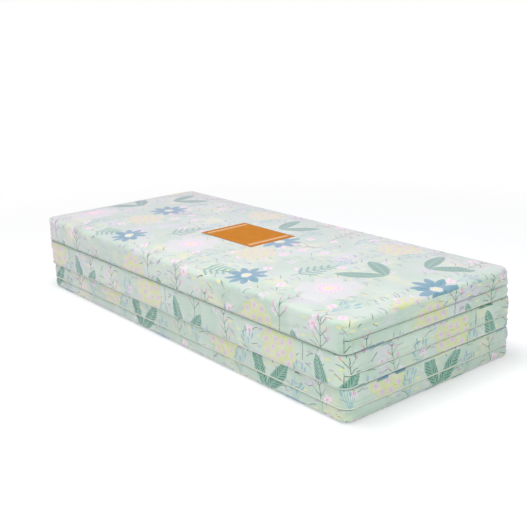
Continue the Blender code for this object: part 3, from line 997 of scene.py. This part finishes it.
def meadow_ground(paint):
    """The mint ground with soft washes of colour, and mists of pale dots."""
    paint.colour = paint.mottled(*GROUND, 5.5, 0.42, 0.66)
    tint = paint.clouds(7.0, 1.0)
    paint.lay(WASH_YELLOW, soft_step(tint, 0.56, 0.72) * 0.7)
    paint.lay(WASH_LILAC, soft_step(tint, 0.44, 0.28) * 0.7)
    x, y, first, _ = paint.scatter(48, 48, (0, 0), 2.0, stray=0.5)
    radius, _ = polar(x, y)
    mist = soft_step(paint.clouds(6.3, 1.0), 0.5, 0.62)
    paint.lay(BLOSSOM, inside(radius - first * 0.0016 - 0.0008) * mist * 0.7)


def brush_marks(paint):
    """Short dabs and thin ticks, gathered where a slow noise is high."""
    gathered = soft_step(paint.clouds(5.1, 1.0), 0.42, 0.5)
    x, y, first, third = paint.scatter(16, 26, (0.02, 0.01), 3.0, stray=0.46, turn=0.5)
    along, beside = x / 0.0095, y / 0.0030
    dab = soft_step(along * along + beside * beside, 1.25, 0.75) * soft_step(third, 0.12, 0.17)
    paint.lay(over(paint.tree, MAUVE, STRAW, soft_step(first, 0.5, 0.55)), dab * gathered * 0.9)
    x, y, _, third = paint.scatter(12, 16, (0.01, 0.03), 4.0, stray=0.34, turn=2.0)
    tick = band(x, 0.0135, 0.001) * band(y + x * x * 12.0, 0.0009)
    paint.lay(STEM, tick * soft_step(third, 0.05, 0.1) * gathered * 0.9)


def small_blossoms(paint):
    """Small blossoms all over, each with four petals, some pale and some pink."""
    size, heart = 0.0165, 0.0036
    x, y, chance, shade = paint.scatter(9, 9, (0.0, 0.05), 23.0, stray=0.5)
    radius, angle = polar(x, y)
    shown = soft_step(chance, 0.52, 0.53)
    lobes = abs((angle * 2.0).math("COSINE")) ** 0.8
    petal_colour = over(paint.tree, BLOSSOM, PINK_PALE, soft_step(shade, 0.5, 0.51))
    paint.lay(petal_colour, inside(radius - (lobes * 0.5 + 0.5) * size) * shown)
    paint.lay(PINK, inside(radius - heart) * shown)


def reeds(paint):
    """Tufts of blue-grey stalks that open upwards from one root, each with a seed head."""
    root, height, unevenness = 0.032, 0.058, 0.014
    x, y = paint.nearest(REEDS)
    radius, angle = polar(x, y + root)
    fan = (angle - pi / 2) * 7.0
    beside = abs(fan % 1.0 - 0.5) * radius
    tall = (fan.math("FLOOR") * 2.3 + 0.9).math("SINE") * unevenness + height
    stalk = inside(beside - 0.0048, 0.0016) * inside(radius - tall, 0.002)
    head = inside(((radius - tall) * 2.2) ** 2.0 + beside * beside - 0.0004, 0.00006)
    paint.lay(BLADE_BLUE, stalk.math("MAXIMUM", head) * band(fan, 3.0, 0.05) * 0.85)


def twigs(paint):
    """Thin dark stems, each with side shoots that end in a bud."""
    middle, half_length, bud = 0.028, 0.060, 0.0040
    x, y = paint.nearest(TWIGS, middle)
    bend = y - (x * 22.0).math("SINE") * 0.005
    out, beside, number = branches(x, bend, 0.024, 0.75)
    reach = 0.031 - number * 0.005
    has_shoot = band(number - 1.5, 1.6, 0.05)
    shoot = band(beside, 0.0007, 0.0005) * inside(out - reach, 0.001) * has_shoot
    stem = band(bend, 0.0009, 0.0005) * band(x - middle, half_length, 0.001)
    paint.lay(STEM, shoot.math("MAXIMUM", stem) * 0.9)
    from_bud, _ = polar(out - reach, beside)
    paint.lay(PINK, inside(from_bud - bud) * has_shoot)


def ferns(paint):
    """Sprigs with five pairs of slim leaflets, shorter towards the tip."""
    middle, half_length, leaflet_width = 0.044, 0.056, 0.0145
    x, y = paint.nearest(FERNS, middle)
    bend = y - (x * 14.0).math("SINE") * 0.006
    out, beside, number = branches(x, bend, 0.0175, 0.95)
    half = pointed(out / (0.043 - number * 0.006), 0.6) * leaflet_width
    leaflet = within(beside, half) * band(number - 2.0, 2.1, 0.05)
    paint.lay(LEAF_PALE, leaflet)
    paint.lay(LEAF_DARK, leaflet * band(beside, 0.0009) * 0.7)
    paint.lay(LEAF_DARK, band(bend, 0.0011, 0.0005) * band(x - middle, half_length, 0.001) * 0.8)


def leaf_pairs(paint):
    """Two large pointed leaves that part from one foot, with slanted dark strokes beside a free midrib."""
    angle, length, width, curve = 0.55, 0.098, 0.04488, 0.014
    x, y = paint.nearest(LEAVES, 0.045)
    spread = abs(y)
    along = x * cos(angle) + spread * sin(angle)
    share = along / length
    beside = spread * cos(angle) - x * sin(angle) - share * (1 - share) * curve
    half = pointed(share, 0.7) * width
    paint.lay(LEAF, within(beside, half))
    slant = (along - abs(beside) * 1.2) * (tau / VEIN_PITCH)
    strokes = soft_step(slant.math("SINE"), 0.0, 0.5) * inside(0.0022 - abs(beside))
    paint.lay(LEAF_DARK, strokes * within(beside, half * 0.85) * 0.9)


def roses(paint):
    """Pale wild roses: five notched petals, a blush towards the middle, and a ring of stamens."""
    size, stamen_ring, stamen, heart = 0.066, 0.0185, 0.0022, 0.0075
    radius, angle = polar(*paint.nearest(ROSES))
    side = abs(angle * (5 / tau) % 1.0 - 0.5) * 2.0
    notch = (side - 0.45) * (side - 0.45) * 0.5
    flower = inside(radius - ((1 - notch) - side**9.0 * 0.34) * size)
    paint.lay(BLOSSOM, flower * 0.92)
    paint.lay(PINK_PALE, soft_step(side, 0.8, 1.0) * flower * 0.6)
    paint.lay(PINK_PALE, soft_step(radius, 0.034, 0.014))
    from_stamen, _ = polar(*round_copies(radius, angle, 14, stamen_ring))
    paint.lay(PINK, inside(from_stamen - stamen) * 0.9)
    paint.lay(STRAW, inside(radius - heart) * 0.9)


def umbels(paint):
    """Yellow flower heads of many round florets, each with a lilac heart."""
    radius, angle = polar(*paint.nearest(UMBELS))
    paint.lay(YELLOW_PALE, inside(radius - 0.046, 0.002) * 0.9)
    yellow = paint.mottled(YELLOW, YELLOW_PALE, 45.0, 0.45, 0.7)
    for count, place, size in ((10, 0.0425, 0.0152), (5, 0.0175, 0.0140)):
        floret, _ = polar(*round_copies(radius, angle, count, place))
        paint.lay(yellow, inside(floret - size))
        paint.lay(YELLOW_DEEP, band(floret - size, 0.0004) * 0.35)
        paint.lay(LILAC, inside(floret - size * 0.55))
        paint.lay(PINK, inside(floret - size * 0.2) * 0.8)


def asters(paint):
    """Blue asters: nine pointed petals with a dark midline, round a pale heart."""
    length, width, heart, eye = 0.044, 0.0245, 0.0125, 0.0062
    radius, angle = polar(*paint.nearest(ASTERS))
    out, beside = round_copies(radius, angle, 9, 0.008)
    paint.lay(BLUE, within(beside, pointed(out / length, 0.65) * width))
    paint.lay(BLUE_DEEP, band(beside, 0.0010) * band(out - 0.018, 0.012, 0.001) * 0.6)
    paint.lay(BLOSSOM, inside(radius - heart))
    paint.lay(STRAW, inside(radius - eye) * 0.9)


# The print's layers, from the lowest up
SMALL_LAYERS = (meadow_ground, brush_marks, small_blossoms)
LARGE_LAYERS = (reeds, twigs, ferns, leaf_pairs, roses, umbels, asters)


def new_material(name, roughness=0.8, sheen=0.0, specular=0.3):
    """(material, its tree, its shader)"""
    material = bpy.data.materials.new(name)
    material.use_nodes = True
    shader = material.node_tree.nodes["Principled BSDF"]
    shader.inputs["Roughness"].default_value = roughness
    shader.inputs["Sheen Weight"].default_value = sheen
    shader.inputs["Sheen Roughness"].default_value = SHEEN_ROUGHNESS
    shader.inputs["Specular IOR Level"].default_value = specular
    return material, material.node_tree, shader


def bump(tree, shader, height):
    """Relief from a height in metres."""
    node = add(tree, "Bump", Distance=1.0, Strength=1.0, Height=height)
    tree.links.new(node.outputs[0], shader.inputs["Normal"])


def weave(paint, pitch):
    """Height of a plain weave, from 0 to 1."""
    across, along = (place * (tau / pitch) for place in (paint.u, paint.v))
    return across.math("SINE") * along.math("SINE") * 0.5 + 0.5


def cloth_finish(paint, shader, pitch):
    """Weave, slubs and wadding: in the colour, painted shade between the threads of the weave and the yarn's
    uneven slub tone; and the height of the threads.
    """
    tree = paint.tree
    threads = weave(paint, pitch)
    # the weave term darkens the colour where the threads lie low, which is painted shade between the threads;
    # the slub noise is the yarn's own uneven tone
    shade = threads * 0.05 + paint.clouds(900.0, 1.0) * 0.07 + 0.91
    grey = add(tree, "CombineColor", shade, shade, shade).outputs[0]
    tree.links.new(mixed(tree, "RGBA", 1, paint.colour, grey, "MULTIPLY"), shader.inputs["Base Color"])
    bump(tree, shader, threads * THREAD_DEPTH + paint.clouds(38.0) * WADDING_DEPTH)
    plug(tree, paint.clouds(14.0) * 0.1 + 0.76, shader.inputs["Roughness"])


def make_printed_cloth():
    """The cover's cotton, whose haze of fine fibres pales it where it is seen at a low angle."""
    material, tree, shader = new_material("printed_cloth", sheen=PRINT_SHEEN)
    shader.inputs["Sheen Tint"].default_value = SHEEN_TINT
    paint = Paint(tree)
    for layer in SMALL_LAYERS + LARGE_LAYERS:
        layer(paint)
    cloth_finish(paint, shader, PRINT_WEAVE)
    return material


def make_plain_cloth(name, shades):
    """Cloth without a print, with uneven colour between two shades."""
    material, tree, shader = new_material(name, sheen=PLAIN_SHEEN)
    paint = Paint(tree)
    paint.colour = paint.mottled(*shades, 26.0, 0.35, 0.65)
    cloth_finish(paint, shader, PLAIN_WEAVE)
    return material


def make_label_cloth():
    """Orange ribbed satin with a darker woven line inside its edge, and pale stripes across its ends."""
    material, tree, shader = new_material("label_cloth", specular=0.1)
    paint = Paint(tree)
    low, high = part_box("label_patch")
    half_u, half_v = (high.x - low.x) / 2, (high.y - low.y) / 2
    edge = (half_u - abs(paint.u)).math("MINIMUM", half_v - abs(paint.v))
    paint.colour = over(tree, *ORANGE, soft_step(paint.clouds(30.0), 0.4, 0.7) * 0.5)
    paint.lay(ORANGE_DARK, band(edge - LABEL_SEAM, 0.0022) * 0.85)
    for from_end, wide in LABEL_STRIPES:
        stripe = band(half_u - from_end - abs(paint.u), wide / 2) * inside(LABEL_SEAM * 2 - edge)
        paint.lay(LABEL_PALE, stripe * 0.85)
    tree.links.new(paint.colour, shader.inputs["Base Color"])
    ribs = (paint.v * (tau / RIB_PITCH)).math("SINE") * RIB_DEPTH
    bump(tree, shader, ribs + weave(paint, RIB_PITCH) * LABEL_THREADS)
    return material


def make_simple(name, shades, scale, roughness, depth, metallic=0.0):
    """A material without cloth places: two shades mixed by noise in the object's own coordinates."""
    material, tree, shader = new_material(name, roughness)
    shader.inputs["Metallic"].default_value = metallic
    mottle = clouds(tree, add(tree, "TexCoord").outputs["Object"], scale, 3.0)
    tree.links.new(over(tree, *shades, soft_step(mottle, 0.35, 0.65)), shader.inputs["Base Color"])
    plug(tree, mottle * 0.15 + (roughness - 0.07), shader.inputs["Roughness"])
    bump(tree, shader, mottle * depth)
    return material


def make_coil_material():
    """Satin nylon with the turns of the coil, which run along the zip, with painted shade between the turns
    and painted light on them.
    """
    material, tree, shader = new_material("zip_coil", roughness=0.4)
    x, y, _ = split(tree, add(tree, "TexCoord").outputs["Object"])
    # darker between the turns and lighter on them, following the bump: painted shade and painted light
    turns = ((x + y) * (tau / COIL_PITCH)).math("SINE") * 0.5 + 0.5
    tree.links.new(over(tree, *COIL_LIT_AND_SHADED, turns), shader.inputs["Base Color"])
    bump(tree, shader, turns * COIL_DEPTH)
    return material


def seen_directly(tree):
    """1 for rays from the camera, and for those that a mirror or glass sends on."""
    path = add(tree, "LightPath")
    rays = [Field(tree, path.outputs[f"Is {kind} Ray"]) for kind in ("Camera", "Glossy", "Transmission")]
    return rays[0].math("MAXIMUM", rays[1]).math("MAXIMUM", rays[2])


def mix_shaders(tree, share, first, second, output):
    """Sends two shaders, mixed by a share, to an output node."""
    both = add(tree, "MixShader", share, first.outputs[0], second.outputs[0])
    tree.links.new(both.outputs[0], tree.nodes[output].inputs[0])


def make_floor():
    """A pale floor that keeps the object's shadow, and fades to plain white far away."""
    place = (0, 0, -FLOOR_DROP)
    bpy.ops.mesh.primitive_circle_add(vertices=64, radius=FLOOR_RADIUS, fill_type="NGON", location=place)
    floor = bpy.context.object
    floor.name = "floor"
    material, tree, shader = new_material("floor", roughness=0.9)
    shader.inputs["Base Color"].default_value = FLOOR_COLOUR
    x, y, _ = split(tree, add(tree, "TexCoord").outputs["Object"])
    away, _ = polar(x, y)
    white = add(tree, "Emission", Strength=1)
    share = (soft_step(away, *FLOOR_FADE) * (1 - FLOOR_LIFT) + FLOOR_LIFT) * seen_directly(tree)
    mix_shaders(tree, share, shader, white, "Material Output")
    floor.data.materials.append(material)


def make_world():
    """Even studio light from all round, and a white background for what is seen directly."""
    world = bpy.data.worlds.new("studio")
    bpy.context.scene.world = world
    world.use_nodes = True
    tree = world.node_tree
    ambient = tree.nodes["Background"]
    ambient.inputs["Color"].default_value = AMBIENT_COLOUR
    ambient.inputs["Strength"].default_value = AMBIENT
    white = add(tree, "Background", Color=(1, 1, 1, 1), Strength=1)
    mix_shaders(tree, seen_directly(tree), ambient, white, "World Output")


def make_lamp(name, place, size, power, colour):
    lamp = bpy.data.lights.new(name, "AREA")
    lamp.shape = "DISK"
    lamp.size = size
    lamp.energy = power
    lamp.color = colour
    holder = bpy.data.objects.new(name, lamp)
    holder.location = place
    holder.rotation_euler = (Vector(LAMP_AIM) - Vector(place)).to_track_quat("-Z", "Y").to_euler()
    bpy.context.scene.collection.objects.link(holder)


def make_camera():
    """The photograph's camera, from its fitted angles and its aim in relation to the object's origin."""
    back = Vector((sin(AZIMUTH) * cos(ELEVATION), -cos(AZIMUTH) * cos(ELEVATION), sin(ELEVATION)))
    level = Vector((0, 0, 1)).cross(back).normalized()
    upright = back.cross(level)
    right = level * cos(ROLL) + upright * sin(ROLL)
    up = upright * cos(ROLL) - level * sin(ROLL)
    data = bpy.data.cameras.new("camera")
    data.sensor_width = 36
    data.lens = FOCAL_PIXELS / PICTURE_SIDE * data.sensor_width
    camera = bpy.data.objects.new("camera", data)
    matrix = Matrix((right, up, back)).transposed().to_4x4()
    matrix.translation = right * AIM_RIGHT + up * AIM_UP + back * DISTANCE
    camera.matrix_world = matrix
    bpy.context.scene.collection.objects.link(camera)
    bpy.context.scene.camera = camera


def dress_nodes():
    """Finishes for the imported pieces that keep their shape."""
    finishes = {"zip_tape": tape_cloth, "zip_coil": coil, "zip_slider": zinc}
    for name, node in frame["nodes"].items():
        for part, material in finishes.items():
            if part in name:
                node.data.materials.clear()
                node.data.materials.append(material)


def dress_panel(panel, phase):
    """The cover, foam, flaps and stitches of one panel. Returns its grid and the points of its skin."""
    grid = CoverGrid(panel, EDGE_INSETS, GRID_STEP)
    moved = capped(grid, simulate(grid))
    points = steadied(grid, pucker(grid, grid.points + moved))
    make_shells(grid, points)
    make_foam(panel)
    for run in free_runs(grid):
        side = "" if len(panel.hinges) == 1 else ("_right" if grid.outline[run[2], 0] > 0 else "_left")
        node = f"{panel.name}_zip_flap{side}"
        line = make_flap(grid, points, run, node, phase)
        outward = np.column_stack([grid.normal[run], np.zeros(len(run))])
        make_stitches(f"{node}_stitches", line[2:-2], outward[2:-2], panel.body)
    return grid, points


printed_cloth = make_printed_cloth()
# the hem's pale colour is partly a painted highlight on the rolled lip of each flap
hem_cloth = make_plain_cloth("hem_cloth", HEM_AND_HIGHLIGHT)
binding_cloth = make_plain_cloth("binding_cloth", BINDING)
label_cloth = make_label_cloth()
# the tape's darkened colour is partly painted shade in the slit under the flap
tape_cloth = make_simple("zip_tape", TAPE_AND_SLIT_SHADE, 60.0, 0.85, 0.0003)
foam = make_simple("foam", FOAM, 420.0, 0.95, 0.0008)
thread = make_simple("thread", THREAD, 700.0, 0.6, 0.0002)
zinc = make_simple("slider_metal", ZINC, 300.0, 0.35, 0.0001, metallic=1.0)
coil = make_coil_material()

panels = (
    Panel("bottom", "far", "", STACKED_FACE, FLOOR_FACE, (0.43, 0.44), BOTTOM_LIP),
    Panel("middle", "near", "far", STACKED_FACE, STACKED_FACE, (0.17, 0.50), MIDDLE_LIP),
    Panel("top", "", "near", OUTER_FACE, STACKED_FACE, (0.26, -0.10), TOP_LIP),
)
for number, panel in enumerate(panels):
    top_grid, top_points = dress_panel(panel, number * 2.3 + 0.6)
make_label(top_grid, top_points)
make_binding("far_binding", "bottom_panel")
make_binding("near_binding", "middle_panel")
dress_nodes()

make_floor()
make_world()
make_lamp("key", (0.05, -0.6, 3.5), 1.9, KEY_POWER, KEY_COLOUR)
make_lamp("fill", (3.4, -2.0, 1.7), 1.6, FILL_POWER, FILL_COLOUR)
make_camera()
bpy.context.scene.view_settings.view_transform = "Standard"
